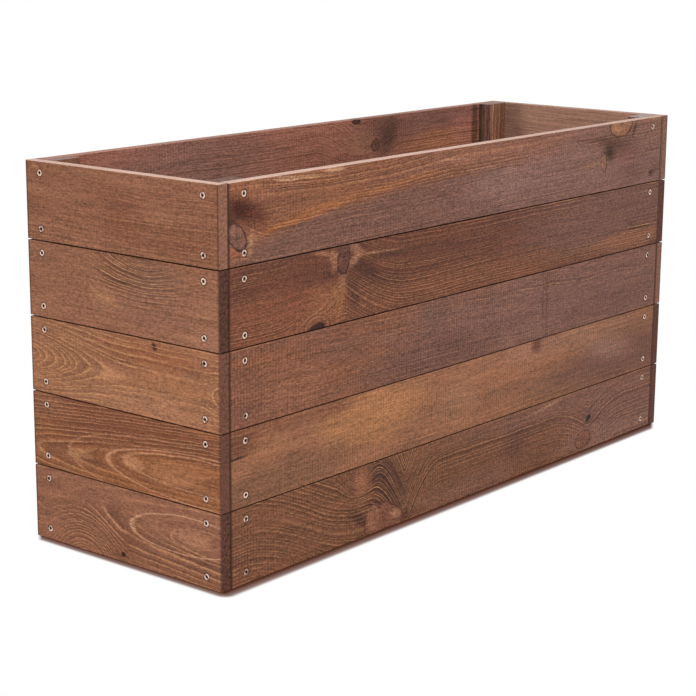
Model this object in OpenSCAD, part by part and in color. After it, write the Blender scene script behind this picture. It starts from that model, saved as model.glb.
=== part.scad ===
// Wooden planter box: an open trough of planed, stained softwood boards for standing outdoors.
// Each wall is a stack of boards with a narrow gap between the rows. Every board is held by two
// screws at each end, driven from outside into an upright post in the corner behind it. The end
// boards run the full width and cover the ends of the long boards. A ledger along the foot of
// each long wall carries a floor of short slats, with gaps between them for drainage.
//
// Sizes are in millimetres. The origin is on the ground under the middle of the box, +X runs
// along the long walls, +Y to the back wall and +Z up. Row 1 is the lowest row of boards.

/* [Box] */
// Outside length of the box, along X
box_length = 1000; // [700:10:1400]
// Outside width of the box, along Y
box_width = 326; // [250:2:450]
// Number of rows of boards in each wall
rows = 5; // [2:1:6]

/* [Wall boards] */
// Thickness of a wall board
board_thick = 15; // [12:0.5:20]
// Height of a wall board, its width as sawn
board_height = 96; // [75:1:120]
// Height of the boards in the top row, which are sawn a little wider
top_board_height = 98.5; // [75:0.5:120]
// Open gap between one row and the next
board_gap = 1.2; // [0.5:0.1:5]
// Radius to which the long edges of a wall board are eased
board_round = 1; // [0.5:0.25:4]
// Gap between the end of a long board and the end board that covers it
end_joint = 0.8; // [0.1:0.1:2]

/* [Corner posts] */
// Side of a post along the long wall
post_wide = 45; // [40:1:60]
// Side of a post along the end wall
post_thick = 20; // [18:1:30]
// Radius to which the edges of the posts and ledgers are eased
post_round = 1.5; // [0.5:0.25:4]

/* [Floor] */
// Height of the ledgers' lower edge above the ground
ledger_lift = 15; // [5:1:40]
// Height of a ledger
ledger_high = 40; // [32:1:50]
// Thickness of a ledger, out from the long wall
ledger_thick = 20; // [18:1:26]
// Width of a floor slat
slat_width = 95; // [75:1:120]
// Thickness of a floor slat
slat_thick = 15; // [12:0.5:20]
// Smallest drainage gap between two slats
slat_gap = 2; // [1:0.5:8]
// Clearance round the slats and at the ends of the ledgers
floor_fit = 1; // [0.5:0.1:2]

/* [Screws] */
// Diameter of a screw over its thread
screw_dia = 4; // [3.5:0.1:5]
// Diameter of the countersunk head
head_dia = 8; // [7:0.1:9]
// Height of the straight rim round the head
head_rim = 0.4; // [0.2:0.1:0.8]
// Depth of the head below the face of the wood
head_sink = 0.3; // [0.1:0.1:1]
// Length of the tapered point
point_len = 5; // [3:0.5:8]
// Length of the screws in the end boards
end_screw_len = 35; // [30:1:38]
// Length of the screws in the long boards
side_screw_len = 30; // [24:1:33]
// Length of the screws through the ledgers
ledger_screw_len = 30; // [25:1:33]
// Length of the screws through the slats
slat_screw_len = 30; // [24:1:36]
// Height of a wall board's screws above its lower edge and below its upper one
screw_inset = 14.5; // [10:0.5:25]
// Distance of the long boards' screws from the post's inner side, past the end boards' screws
side_screw_edge = 17; // [9:0.5:19]
// Point to point size of the star drive in the head
drive_dia = 4; // [3:0.1:5]
// Depth of the star drive
drive_deep = 1.8; // [1:0.1:2]
// Clearance all round a shank where it passes through a drilled hole
shank_clear = 0.25; // [0.1:0.05:0.5]
// Clearance all round a thread in its pilot hole, and round the head in its seat
thread_clear = 0.05; // [0.02:0.01:0.1]
// Depth that a pilot hole runs on past the point of its screw
pilot_spare = 1; // [0.5:0.5:1.5]

/* [Hidden] */
half_length = box_length / 2;
half_width = box_width / 2;
inner_x = half_length - board_thick;
inner_y = half_width - board_thick;
long_board_len = 2 * (inner_x - end_joint);
wall_height = (rows - 1) * (board_height + board_gap) + top_board_height;

side_screw_x = inner_x - post_wide + side_screw_edge;
end_screw_y = inner_y - post_thick / 2;

ledger_len = 2 * (inner_x - post_wide - floor_fit);
ledger_screw_z = ledger_lift + ledger_high / 2;
floor_z = ledger_lift + ledger_high;
ledger_mid_y = inner_y - ledger_thick / 2;
slat_len = 2 * (inner_y - floor_fit);
slat_room = 2 * (inner_x - floor_fit);
slat_count = floor((slat_room + slat_gap) / (slat_width + slat_gap));
slat_pitch = (slat_room - slat_width) / (slat_count - 1);
notch_x = inner_x - post_wide - floor_fit;
notch_y = inner_y - post_thick - floor_fit;

head_r = head_dia / 2;
screw_r = screw_dia / 2;
// Every cutting shape runs past the face that it cuts by this much
past = 1;
$fn = 48;

board_colour = "#7a5442";
end_board_colour = "#8b5e45";
post_colour = "#6b4a38";
floor_colour = "#765240";
zinc_colour = "#d9c7a6";

wall_names = ["front_board_", "back_board_", "left_end_board_", "right_end_board_"];
post_names = ["corner_post_front_left", "corner_post_front_right",
              "corner_post_back_left", "corner_post_back_right"];

// Height of a row's lower edge
function row_z(row) = (row - 1) * (board_height + board_gap);

// Height of a row's boards
function row_high(row) = row == rows ? top_board_height : board_height;

// Heights of the two screws at each end of a row's boards
function row_screws(row) = [row_z(row) + screw_inset, row_z(row) + row_high(row) - screw_inset];

// Middle of a slat along X
function slat_x(i) = -slat_room / 2 + slat_width / 2 + (i - 1) * slat_pitch;

// The first and last slats bear on the ledgers only between their notches and their inner edge
function bearing_x(i) =
    i == 1 ? (slat_x(i) + slat_width / 2 - notch_x) / 2 :
    i == slat_count ? (slat_x(i) - slat_width / 2 + notch_x) / 2 :
    slat_x(i);

// Middle of the gap after a slat. A ledger screw sits under every second one.
function gap_x(i) = slat_x(i) + slat_pitch / 2;
ledger_screw_xs = [for (i = [1:2:slat_count - 1]) gap_x(i)];

// Section of a planed piece with its four long edges eased
module eased_section(wide, high, r) {
    translate([r, 0]) square([wide - 2 * r, high]);
    translate([0, r]) square([wide, high - 2 * r]);
    for (x = [r, wide - r], y = [r, high - r]) translate([x, y]) circle(r);
}

// A planed piece with its length along +X, its thickness along +Y and its height along +Z
module planed(len, thick, high, r) {
    rotate([90, 0, 90]) linear_extrude(len) eased_section(thick, high, r);
}

// Screws and holes point down -Z, with the face of the wood at z = 0
module screw(len) {
    top = -head_sink;
    neck = top - head_rim - (head_r - screw_r);
    difference() {
        rotate_extrude() polygon([[0, top], [head_r, top], [head_r, top - head_rim],
            [screw_r, neck], [screw_r, top - len + point_len], [0, top - len]]);
        translate([0, 0, top - drive_deep]) linear_extrude(drive_deep + past) star_drive();
    }
}

// Six-pointed star that the driver fits
module star_drive() {
    points = 6;
    valley = 0.72;
    step = 180 / points;
    polygon([for (i = [0:2 * points - 1])
        drive_dia / 2 * (i % 2 == 0 ? 1 : valley) * [cos(i * step), sin(i * step)]]);
}

// Countersunk hole through wood of this thickness
module clear_hole(thick) {
    seat_r = head_r + thread_clear;
    shank_r = screw_r + shank_clear;
    seat_z = -head_sink - head_rim;
    rotate_extrude() polygon([[0, past], [seat_r, past], [seat_r, seat_z],
        [shank_r, seat_z - (seat_r - shank_r)], [shank_r, -thick - past], [0, -thick - past]]);
}

// Blind hole for the thread of a screw that has first passed through wood of this thickness
module pilot_hole(len, thick) {
    deep = len + head_sink - thick + pilot_spare;
    translate([0, 0, -deep]) cylinder(r = screw_r + thread_clear, h = deep + past);
}

// Places of a row's screws, on the outer face of the front wall or of the left end
module at_front_screws(row, y) {
    for (x = [-side_screw_x, side_screw_x], z = row_screws(row))
        translate([x, y, z]) rotate([90, 0, 0]) children();
}
module at_left_screws(row, x) {
    for (y = [-end_screw_y, end_screw_y], z = row_screws(row))
        translate([x, y, z]) rotate([0, -90, 0]) children();
}

// Places of the ledger screws on the inner face of the front ledger
module at_ledger_screws(y) {
    for (x = ledger_screw_xs) translate([x, y, ledger_screw_z]) rotate([-90, 0, 0]) children();
}

// A long board fits between the end boards. The lowest also takes the ledger's screws.
module long_board(row) {
    color(board_colour) difference() {
        translate([-long_board_len / 2, -half_width, row_z(row)])
            planed(long_board_len, board_thick, row_high(row), board_round);
        at_front_screws(row, -half_width) clear_hole(board_thick);
        if (row == 1) at_ledger_screws(-inner_y) pilot_hole(ledger_screw_len, ledger_thick);
    }
}

// An end board runs the full width, over the ends of the long boards
module end_board(row) {
    color(end_board_colour) difference() {
        translate([-inner_x, -half_width, row_z(row)])
            rotate([0, 0, 90]) planed(box_width, board_thick, row_high(row), board_round);
        at_left_screws(row, -half_length) clear_hole(board_thick);
    }
}

// Front left post, as high as the walls, with the pilot holes of both walls' screws
module corner_post() {
    color(post_colour) difference() {
        translate([-inner_x, -inner_y, 0])
            linear_extrude(wall_height) eased_section(post_wide, post_thick, post_round);
        for (row = [1:rows], z = row_screws(row)) {
            translate([-side_screw_x, -inner_y, z])
                rotate([90, 0, 0]) pilot_hole(side_screw_len, board_thick);
            translate([-inner_x, -end_screw_y, z])
                rotate([0, -90, 0]) pilot_hole(end_screw_len, board_thick);
        }
    }
}

// Front ledger, between the two front posts
module ledger() {
    color(floor_colour) difference() {
        translate([-ledger_len / 2, -inner_y, ledger_lift])
            planed(ledger_len, ledger_thick, ledger_high, post_round);
        at_ledger_screws(-inner_y + ledger_thick) clear_hole(ledger_thick);
        for (i = [1:slat_count])
            translate([bearing_x(i), -ledger_mid_y, floor_z]) pilot_hole(slat_screw_len, slat_thick);
    }
}

// A floor slat lies across the two ledgers. The first and last are notched round the posts.
module floor_slat(i) {
    color(floor_colour) difference() {
        translate([slat_x(i) + slat_width / 2, -slat_len / 2, floor_z])
            rotate([0, 0, 90]) planed(slat_len, slat_width, slat_thick, board_round);
        for (side = [-1, 1]) {
            if (i == 1) post_notch(-1, side);
            if (i == slat_count) post_notch(1, side);
            translate([bearing_x(i), side * ledger_mid_y, floor_z + slat_thick])
                clear_hole(slat_thick);
        }
    }
}

// Cut that clears a post in the corner of an end slat
module post_notch(x_side, y_side) {
    wide = inner_x - notch_x + past;
    deep = inner_y - notch_y + past;
    translate([x_side > 0 ? notch_x : -notch_x - wide, y_side > 0 ? notch_y : -notch_y - deep,
               floor_z - past])
        cube([wide, deep, slat_thick + 2 * past]);
}

// The four walls' screws, and those of the floor
module long_wall_screws() {
    color(zinc_colour) for (row = [1:rows]) at_front_screws(row, -half_width) screw(side_screw_len);
}
module end_wall_screws() {
    color(zinc_colour) for (row = [1:rows]) at_left_screws(row, -half_length) screw(end_screw_len);
}
module ledger_screws() {
    color(zinc_colour) for (turn = [0, 180])
        rotate([0, 0, turn]) at_ledger_screws(-inner_y + ledger_thick) screw(ledger_screw_len);
}
module slat_screws() {
    color(zinc_colour) for (i = [1:slat_count], side = [-1, 1])
        translate([bearing_x(i), side * ledger_mid_y, floor_z + slat_thick]) screw(slat_screw_len);
}

// The back and right walls are the front and left ones turned half round
module opposite() {
    rotate([0, 0, 180]) children();
}

for (row = [1:rows]) {
    long_board(row);
    opposite() long_board(row);
    end_board(row);
    opposite() end_board(row);
}
corner_post();  // corner_post_front_left
mirror([1, 0, 0]) corner_post();  // corner_post_front_right
mirror([0, 1, 0]) corner_post();  // corner_post_back_left
opposite() corner_post();  // corner_post_back_right
ledger();  // front_ledger
opposite() ledger();  // back_ledger
for (i = [1:slat_count]) {
    floor_slat(i);
}
long_wall_screws();  // front_wall_screws
opposite() long_wall_screws();  // back_wall_screws
end_wall_screws();  // left_end_screws
opposite() end_wall_screws();  // right_end_screws
ledger_screws();
slat_screws();
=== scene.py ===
import math

import bpy
from mathutils import Euler, Matrix, Vector


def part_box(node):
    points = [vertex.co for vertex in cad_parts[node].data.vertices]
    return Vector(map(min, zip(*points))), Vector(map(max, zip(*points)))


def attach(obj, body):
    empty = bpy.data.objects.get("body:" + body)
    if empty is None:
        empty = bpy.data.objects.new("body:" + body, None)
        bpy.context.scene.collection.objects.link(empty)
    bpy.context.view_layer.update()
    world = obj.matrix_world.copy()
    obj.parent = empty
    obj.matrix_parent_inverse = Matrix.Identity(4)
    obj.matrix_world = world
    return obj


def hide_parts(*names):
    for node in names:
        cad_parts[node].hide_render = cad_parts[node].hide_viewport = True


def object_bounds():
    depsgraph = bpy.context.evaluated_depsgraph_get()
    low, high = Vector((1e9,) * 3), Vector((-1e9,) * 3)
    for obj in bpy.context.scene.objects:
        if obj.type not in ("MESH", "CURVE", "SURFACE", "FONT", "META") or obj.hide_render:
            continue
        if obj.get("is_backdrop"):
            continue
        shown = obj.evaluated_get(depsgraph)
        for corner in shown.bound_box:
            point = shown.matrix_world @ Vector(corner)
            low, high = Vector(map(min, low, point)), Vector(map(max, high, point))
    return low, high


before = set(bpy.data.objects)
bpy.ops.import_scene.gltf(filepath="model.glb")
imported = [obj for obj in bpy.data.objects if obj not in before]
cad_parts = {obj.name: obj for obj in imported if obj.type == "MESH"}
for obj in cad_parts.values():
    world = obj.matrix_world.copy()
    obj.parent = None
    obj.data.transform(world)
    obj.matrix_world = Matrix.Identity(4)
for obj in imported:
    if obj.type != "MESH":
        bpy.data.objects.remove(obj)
cad_low, cad_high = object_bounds()

# Camera: it stands off the near left corner, a little above the rim, and looks down the two
# walls that show. Its place and lens are those that put the box's corners where the photograph
# has them.
camera_place = Vector((-2.0159, -1.5966, 0.7885))
camera_look = Vector((0.75276, 0.61729, -0.2287)).normalized()
camera_up = Vector((0.17268, 0.15009, 0.97348))
camera_right = camera_look.cross(camera_up).normalized()
bpy.ops.object.camera_add(location=camera_place)
camera = bpy.context.object
camera.name = "photograph_camera"
camera.rotation_euler = Matrix(
    (camera_right, camera_right.cross(camera_look), -camera_look)
).transposed().to_euler()
camera.data.sensor_width = 36
camera.data.lens = 96.33
bpy.context.scene.camera = camera

# Studio: a white paper floor under an even white surround, with a soft lamp on the side of the
# left end and a stronger one over the near corner. The paper shows as white, but for the narrow
# brown line at the box's foot, a painted shadow, brown with the wood's reflected light, laid on
# the paper under the real one. The line is narrower on the left, and it ends at the far corners
# of the two walls that show.
paper_colour = "#e9e3dd"
paper_drop = 0.0002
shadow_reach = 0.025
left_pace = 1.2
left_start = 0.004
fade = 0.005
surround_strength = 0.45


def linear(colour):
    """An sRGB hex colour as linear red, green, blue and alpha."""
    parts = [int(colour[i:i + 2], 16) / 255 for i in (1, 3, 5)]
    return [p / 12.92 if p <= 0.04045 else ((p + 0.055) / 1.055) ** 2.4 for p in parts] + [1]


def add(tree, kind, inputs, stops=(), **settings):
    """Adds a shader node with its settings. Its kind can name its operation too. An input takes
    a value, a hex colour, a socket or a node, which stands for its own first live output. stops
    are the places and the hex colours or greys of a colour ramp, its two ends first."""
    kind, *operation = kind.split()
    node = tree.nodes.new("ShaderNode" + kind)
    if operation:
        node.operation = operation[0]
    for setting, value in settings.items():
        setattr(node, setting, value)
    for socket, value in inputs.items():
        if isinstance(value, bpy.types.Node):
            value = next(out for out in value.outputs if out.enabled)
        if isinstance(value, bpy.types.NodeSocket):
            tree.links.new(value, node.inputs[socket])
        else:
            node.inputs[socket].default_value = linear(value) if isinstance(value, str) else value
    for i, (place, shade) in enumerate(stops):
        slots = node.color_ramp.elements
        stop = slots[i] if i < 2 else slots.new(place)
        stop.position = place
        stop.color = linear(shade) if isinstance(shade, str) else (shade, shade, shade, 1)
    return node


def seen_directly(tree):
    """1 where the camera, a reflection or a clear body shows the surface, 0 for its light."""
    ray = add(tree, "LightPath", {})
    seen = add(tree, "Math MAXIMUM", {0: ray.outputs["Is Camera Ray"],
                                      1: ray.outputs["Is Glossy Ray"]})
    return add(tree, "Math MAXIMUM", {0: seen, 1: ray.outputs["Is Transmission Ray"]})


bpy.ops.object.select_all(action="DESELECT")
bpy.ops.mesh.primitive_plane_add(size=30, location=(0, 0, -paper_drop))
paper = bpy.context.object
paper.name = "paper_floor"
bpy.ops.object.transform_apply(location=True, rotation=False, scale=False)
paper_finish = bpy.data.materials.new("matt_white_paper")
paper_finish.use_nodes = True
tree = paper_finish.node_tree
tree.nodes.clear()
spot = add(tree, "TexCoord", {}).outputs["Object"]
near = add(tree, "VectorMath MULTIPLY_ADD", {0: spot, 1: (-left_pace, -1, 0),
                                             2: (left_pace * cad_low.x + left_start, cad_low.y, 0)})
far = add(tree, "VectorMath SUBTRACT", {0: spot, 1: (cad_high.x, cad_high.y, 0)})
off = add(tree, "VectorMath MAXIMUM", {0: near, 1: far})
off = add(tree, "VectorMath MAXIMUM", {0: off, 1: (0, 0, 0)})
off = add(tree, "VectorMath LENGTH", {0: off})
off = add(tree, "Math DIVIDE", {0: off, 1: shadow_reach})
clear = add(tree, "MapRange", {"Value": off, "From Min": 0.46, "From Max": 0.81},
            interpolation_type="SMOOTHSTEP")
for corner, side in ((Vector((cad_high.x, cad_low.y, 0)), 1),
                     (Vector((cad_low.x, cad_high.y, 0)), -1)):
    sight = corner - Vector((camera_place.x, camera_place.y, 0))
    beyond = Vector((sight.y, -sight.x, 0)).normalized() * side
    edge = corner.dot(beyond)
    past = add(tree, "VectorMath DOT_PRODUCT", {0: spot, 1: beyond})
    past = add(tree, "MapRange", {"Value": past, "From Min": edge - fade, "From Max": edge})
    clear = add(tree, "Math MAXIMUM", {0: clear, 1: past})
seen = seen_directly(tree)
# Painted shadow: browns that darken the paper at the box's foot, darkest next to the wood
painted_foot_shadow = add(tree, "ValToRGB", {"Fac": off},
           [(0.05, "#59362a"), (0.5, "#947d78"), (0.124, "#644236"), (0.196, "#725347"),
            (0.27, "#7a5f55"), (0.34, "#826761"), (0.415, "#917873")])
painted_foot_shadow = add(tree, "Mix", {0: seen, 6: paper_colour, 7: painted_foot_shadow}, data_type="RGBA")
share = add(tree, "Math MULTIPLY", {0: seen, 1: clear})
sheet = add(tree, "BsdfDiffuse", {"Color": painted_foot_shadow})
white = add(tree, "Emission", {"Color": (1, 1, 1, 1), "Strength": 1.0})
both = add(tree, "MixShader", {0: share, 1: sheet, 2: white})
add(tree, "OutputMaterial", {"Surface": both})
paper.data.materials.append(paper_finish)
paper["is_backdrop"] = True

world = bpy.data.worlds.new("white_surround")
bpy.context.scene.world = world
world.use_nodes = True
tree = world.node_tree
tree.nodes.clear()
level = add(tree, "MapRange", {"Value": seen_directly(tree), "To Min": surround_strength,
                               "To Max": 1})
back = add(tree, "Background", {"Color": (1, 1, 1, 1), "Strength": level})
add(tree, "OutputWorld", {"Surface": back})

for lamp_name, place, aim, size, power in (
        ("left_softbox", (-3.2, -0.9, 1.7), (-0.5, 0, 0.25), 2.4, 27),
        ("key_softbox", (-1.5, -2.35, 2.9), (0, 0.1, 0.35), 2.0, 99)):
    bpy.ops.object.light_add(type="AREA", location=place)
    lamp = bpy.context.object
    lamp.name = lamp_name
    lamp.data.size = size
    lamp.data.energy = power
    lamp.rotation_euler = (Vector(place) - Vector(aim)).to_track_quat("Z", "Y").to_euler()
bpy.context.scene.view_settings.view_transform = "Standard"

# Front wall: five planed pine boards, one above the other, brushed with a brown stain. The
# planer has eased their long edges, and each end has two countersunk holes for its screws. Each
# board has its own grain, knots and shades, placed in millimetres: u along the board from the
# box's left end and v up the board, from a little above its lower edge.
board_ease = 0.001
seat_radius = 0.00405
seat_deep = 0.0007
seat_through = 0.02
shank_radius = 0.00225
board_wear = 0.0003
screw_inset = 0.0145
long_screw_x = (-0.457, 0.457)
long_hole_in = 28
grain_lift = 1.5
jog_reach = 1.2
bark_width = 1.8
rib_pitch = 5.2
fibre_show = 0.28
wear_and_highlight_edge = "#b08871"
painted_top_highlight = "#dcb9aa"
dark_line = "#3a2219"
tan_line = "#b5835c"


def select_along(piece, axis):
    """Selects the edges of a piece in edit mode that run along an axis."""
    bpy.ops.object.mode_set(mode="OBJECT")
    for edge in piece.data.edges:
        ends = [piece.data.vertices[i].co for i in edge.vertices]
        run = ends[1] - ends[0]
        edge.select = abs(run[axis]) > 0.999 * run.length
    bpy.ops.object.mode_set(mode="EDIT")


def planed_timber(node, axis, ease, cuts):
    """A length of planed wood that fills the box of a CAD node, with its long edges eased and
    its faces a little uneven, always inward."""
    low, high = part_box(node)
    bpy.ops.object.select_all(action="DESELECT")
    bpy.ops.mesh.primitive_cube_add(size=1, location=(low + high) / 2, scale=high - low)
    piece = bpy.context.object
    piece.name = "stained_" + node
    bpy.ops.object.transform_apply(location=True, rotation=False, scale=True)
    bpy.ops.object.mode_set(mode="EDIT")
    bpy.ops.mesh.select_mode(type="EDGE")
    bpy.ops.mesh.select_all(action="DESELECT")
    select_along(piece, axis)
    bpy.ops.mesh.bevel(offset=ease, offset_type="OFFSET", segments=4, profile=0.5)
    bpy.ops.mesh.select_all(action="DESELECT")
    select_along(piece, axis)
    bpy.ops.mesh.subdivide(number_cuts=cuts)
    bpy.ops.object.mode_set(mode="OBJECT")
    eased = piece.vertex_groups.new(name="eased_edges")
    sides = [i for i in range(3) if i != axis]
    for vertex in piece.data.vertices:
        inset = [min(vertex.co[i] - low[i], high[i] - vertex.co[i]) for i in sides]
        if max(inset) < 1.01 * ease:
            eased.add([vertex.index], 1.0, "REPLACE")
    for texture_name, scale, strength, group in (
            ("planer_wander", 0.16, 0.0003, ""), ("edge_wear", 0.02, board_wear, "eased_edges")):
        clouds = bpy.data.textures.get(texture_name) or bpy.data.textures.new(texture_name, "CLOUDS")
        clouds.noise_scale = scale
        wear = piece.modifiers.new(texture_name, "DISPLACE")
        wear.texture = clouds
        wear.texture_coords = "LOCAL"
        wear.mid_level = 1.0
        wear.strength = strength
        wear.vertex_group = group
        bpy.ops.object.modifier_apply(modifier=wear.name)
    return piece


def cut_away(piece, cutter):
    """Takes the shape of a cutter out of a piece."""
    saw = piece.modifiers.new("saw", "BOOLEAN")
    saw.object = cutter
    saw.solver = "EXACT"
    bpy.context.view_layer.objects.active = piece
    bpy.ops.object.modifier_apply(modifier=saw.name)
    bpy.data.objects.remove(cutter)


def cut_seats(piece, places, out, through):
    """Drills the countersunk holes for screws at these places on the face that looks out."""
    bpy.ops.object.select_all(action="DESELECT")
    turn = out.to_track_quat("Z", "Y").to_euler()
    cone = seat_radius - shank_radius
    share = shank_radius / seat_radius
    cutters = []
    for place in places:
        bpy.ops.mesh.primitive_cylinder_add(vertices=24, radius=seat_radius, depth=2 * seat_deep,
                                            location=place, rotation=turn)
        cutter = bpy.context.object
        bpy.ops.object.transform_apply(location=True, rotation=True, scale=False)
        bpy.ops.object.mode_set(mode="EDIT")
        bpy.ops.mesh.select_mode(type="FACE")
        bpy.ops.mesh.select_all(action="DESELECT")
        bpy.ops.object.mode_set(mode="OBJECT")
        for face in cutter.data.polygons:
            face.select = face.normal.dot(out) < -0.9
        bpy.ops.object.mode_set(mode="EDIT")
        bpy.ops.mesh.extrude_region_move(TRANSFORM_OT_translate={"value": -out * cone})
        bpy.ops.transform.resize(value=(share, share, share),
                                 center_override=place - out * (seat_deep + cone))
        bpy.ops.mesh.extrude_region_move(TRANSFORM_OT_translate={"value": -out * through})
        bpy.ops.mesh.select_all(action="SELECT")
        bpy.ops.mesh.normals_make_consistent(inside=False)
        bpy.ops.object.mode_set(mode="OBJECT")
        cutters.append(cutter)
    for cutter in cutters:
        cutter.select_set(True)
    bpy.context.view_layer.objects.active = cutters[0]
    bpy.ops.object.join()
    cut_away(piece, bpy.context.object)


def oval(tree, place, u, v, half_u, half_v, tilt, deep=1e5):
    """The distance from the middle of a tilted oval on a board's face, 1 at the oval's edge."""
    spot = add(tree, "Mapping",
               {"Vector": place, "Location": (u, 0, v), "Rotation": (0, -math.radians(tilt), 0),
                "Scale": (half_u, deep, half_v)}, vector_type="TEXTURE")
    return add(tree, "VectorMath LENGTH", {0: spot})


def mottle(tree, place, shift, length, width, detail, roughness=0.5):
    """Noise in patches of this length along the grain and this width across it."""
    spot = add(tree, "Mapping", {"Vector": place, "Location": shift,
                                 "Scale": (1 / length, 1 / width, 1 / width)})
    return add(tree, "TexNoise", {"Vector": spot, "Scale": 1.0, "Detail": detail,
                                  "Roughness": roughness})


def lay(tree, under, shade, guide, start, end, first=0.0, last=1.0, run="LINEAR"):
    """Lays a shade over the one under it, in a share that goes from first to last while the
    guide goes from start to end."""
    share = add(tree, "MapRange", {"Value": guide, "From Min": start, "From Max": end,
                                   "To Min": first, "To Max": last}, interpolation_type=run)
    return add(tree, "Mix", {0: share, 6: under, 7: shade}, data_type="RGBA")


def stained_pine(piece, node, look, turn, corner, seed):
    """Planed pine under a thin brown stain, for one board. The stain sinks into the soft early
    wood and leaves the hard late wood as fine lines, the planer leaves ribs across the grain,
    and the ends drink the stain and go dark. turn and corner bring the piece's coordinates to
    its own millimetres: grain along X, depth along Y and width along Z."""
    look = {**usual_look, **look}
    material = bpy.data.materials.new("brown_stained_pine_" + node)
    material.use_nodes = True
    tree = material.node_tree
    surface = tree.nodes["Principled BSDF"]
    surface.inputs["Specular IOR Level"].default_value = 0.12
    low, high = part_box(node)
    turned = Euler(turn).to_matrix()
    middle = turned @ ((low + high) * 500) + Vector(corner)
    half = Vector([abs(side) for side in turned @ ((high - low) * 500)])
    where = add(tree, "TexCoord", {})
    board = add(tree, "Mapping", {"Vector": where.outputs["Object"], "Rotation": turn,
                                  "Location": corner, "Scale": (1000, 1000, 1000)})

    # The grain wanders off the straight by some millimetres along the board
    wander = look["wander"]
    slow = mottle(tree, board, (seed, 3 * seed, seed / 3), 170, 60, 2.0)
    drift = add(tree, "VectorMath MULTIPLY_ADD", {0: slow.outputs["Color"],
                                                  1: (0, 2 * wander, 2 * wander),
                                                  2: (0, -wander, -wander)})
    quick = mottle(tree, board, (-seed, seed, 2 * seed), 24, 12, 2.0)
    jog = add(tree, "VectorMath MULTIPLY_ADD", {0: quick.outputs["Color"],
                                                1: (0, 2 * jog_reach, 2 * jog_reach),
                                                2: (0, -jog_reach, -jog_reach)})
    grain = add(tree, "VectorMath ADD", {0: board, 1: drift})
    grain = add(tree, "VectorMath ADD", {0: grain, 1: jog})

    # Growth rings: the distance from the tree's heart, swollen round each branch
    depth, height, climb, sink = look["heart"]
    heart = add(tree, "Mapping", {"Vector": grain, "Location": (0, -depth, -height),
                                  "Rotation": (0, climb, -sink)})
    heart = add(tree, "VectorMath MULTIPLY", {0: heart, 1: (0, 1, 1)})
    ring = add(tree, "VectorMath LENGTH", {0: heart})
    for *spot, lift in look["swells"]:
        swell = add(tree, "MapRange", {"Value": oval(tree, grain, *spot), "To Min": lift,
                                       "To Max": 0.0}, interpolation_type="SMOOTHSTEP")
        ring = add(tree, "Math ADD", {0: ring, 1: swell})
    for *spot, lift in look["peaks"]:
        peak = add(tree, "MapRange", {"Value": oval(tree, grain, *spot), "To Min": 1.0,
                                      "To Max": 0.0})
        peak = add(tree, "Math POWER", {0: peak, 1: 2.0})
        ring = add(tree, "Math MULTIPLY_ADD", {0: peak, 1: lift, 2: ring})
    for start, end, lift in look["steps"]:
        along = add(tree, "SeparateXYZ", {0: grain})
        step = add(tree, "MapRange", {"Value": along, "From Min": start, "From Max": end,
                                      "To Max": lift}, interpolation_type="SMOOTHSTEP")
        ring = add(tree, "Math ADD", {0: ring, 1: step})
    years = add(tree, "Math DIVIDE", {0: ring, 1: look["pitch"]})
    pace = add(tree, "TexNoise", {"W": years, "Scale": 0.31, "Detail": 1.0}, noise_dimensions="1D")
    years = add(tree, "Math MULTIPLY_ADD", {0: pace, 1: 2.6, 2: years})
    season = add(tree, "Math FRACT", {0: years})
    late = add(tree, "ValToRGB", {"Fac": season},
               [(0.0, 0), (1.0, 0.2), (0.3, 0), (0.62, 0.45), (0.82, 1), (0.96, 0.5)])
    early = add(tree, "ValToRGB", {"Fac": season}, [(0.0, 1), (1.0, 0), (0.13, 0.85), (0.28, 0)])

    # The rings show more in some years and patches than in others
    year = add(tree, "Math FLOOR", {0: years})
    weight = add(tree, "TexWhiteNoise", {"W": year}, noise_dimensions="1D")
    weight = add(tree, "MapRange", {"Value": weight, "To Min": look["least"]})
    patch = mottle(tree, grain, (2 * seed, seed, -seed), 120, 30, 1.0)
    clear = add(tree, "MapRange", {"Value": patch, "From Min": 0.4, "From Max": 0.6,
                                   "To Min": look["faint"], "To Max": look["plain"]})
    feather = mottle(tree, grain, (seed, -seed, 4 * seed), 60, 5, 4.0, 0.7)
    feather = add(tree, "Math MULTIPLY_ADD", {0: feather, 1: 1.2, 2: -0.6})
    for *spot, soft, amount in look["shows"]:
        off = add(tree, "Math ADD", {0: oval(tree, grain, *spot), 1: feather})
        share = add(tree, "MapRange", {"Value": off, "From Min": 1 - soft, "From Max": 1 + soft,
                                       "To Min": 1.0, "To Max": 0.0},
                    interpolation_type="SMOOTHSTEP")
        clear = add(tree, "Mix", {0: share, 2: clear, 3: amount})
    clear = add(tree, "Math MULTIPLY", {0: weight, 1: clear})
    lines = add(tree, "Math MULTIPLY", {0: late, 1: clear})

    # Stain: a warm and a cool brown that drift into each other, with the board's shades, which run
    # out along the fibres but for the softest clouds. On the top back and right boards some browns and
    # shades are painted light and shade.
    tone = mottle(tree, grain, (-3 * seed, seed, seed), 200, 28, 3.0)
    colour = lay(tree, look["warm"], look["cool"], tone, 0.36, 0.64)
    for *spot, soft, shade, amount in look["shades"]:
        off = oval(tree, grain, *spot, look["skin"])
        if soft < 0.9:
            off = add(tree, "Math MULTIPLY_ADD", {0: feather, 1: min(1.0, 2 * soft), 2: off})
        colour = lay(tree, colour, shade, off, 1 - soft, 1 + soft, amount, 0.0, "SMOOTHSTEP")
    dark = add(tree, "Math MULTIPLY", {0: lines, 1: look["dark"]})
    colour = add(tree, "Mix", {0: dark, 6: colour, 7: look["line"]}, data_type="RGBA")
    pale = add(tree, "Math MULTIPLY", {0: early, 1: clear})
    pale = add(tree, "Math MULTIPLY", {0: pale, 1: look["pale"]})
    colour = add(tree, "Mix", {0: pale, 6: colour, 7: tan_line}, data_type="RGBA")

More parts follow.
